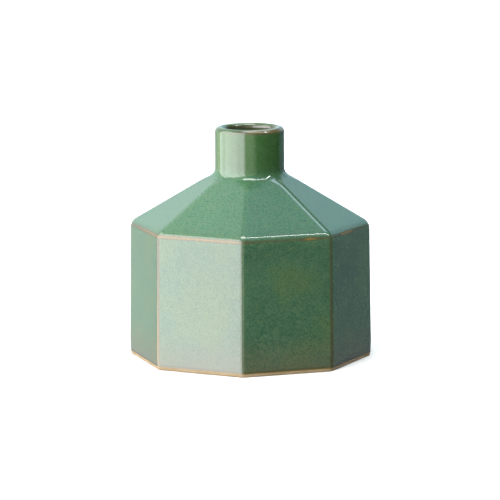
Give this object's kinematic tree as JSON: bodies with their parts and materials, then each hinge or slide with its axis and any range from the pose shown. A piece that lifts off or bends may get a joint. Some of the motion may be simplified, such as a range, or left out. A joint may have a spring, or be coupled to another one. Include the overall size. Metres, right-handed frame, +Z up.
{
  "type": "bud vase",
  "caption": "Glazed stoneware bud vase with flat octagonal walls, a sloping faceted shoulder and a short round neck with an open bore for stems.",
  "frame": {"origin": "centre of the foot, on the plane the vase stands on", "axes": "+Z up along the axis of the neck's bore; two of the eight flat walls face along +X and -X, two along +Y and -Y"},
  "size_m": [0.1024, 0.1024, 0.105],
  "materials": {
    "bare_stoneware": "unglazed buff stoneware, fired and wiped clean, fine matt grain",
    "reactive_green_glaze": "glossy reactive green glaze, mottled, breaking to tan and brown where it is thin on the edges",
    "liner_glaze": "glossy brown-green liner glaze"
  },
  "bodies": {
    "root": {"clay_body": "bare_stoneware", "outer_glaze": "reactive_green_glaze", "inner_glaze": "liner_glaze", "base_glaze": "reactive_green_glaze"}
  },
  "joints": []
}
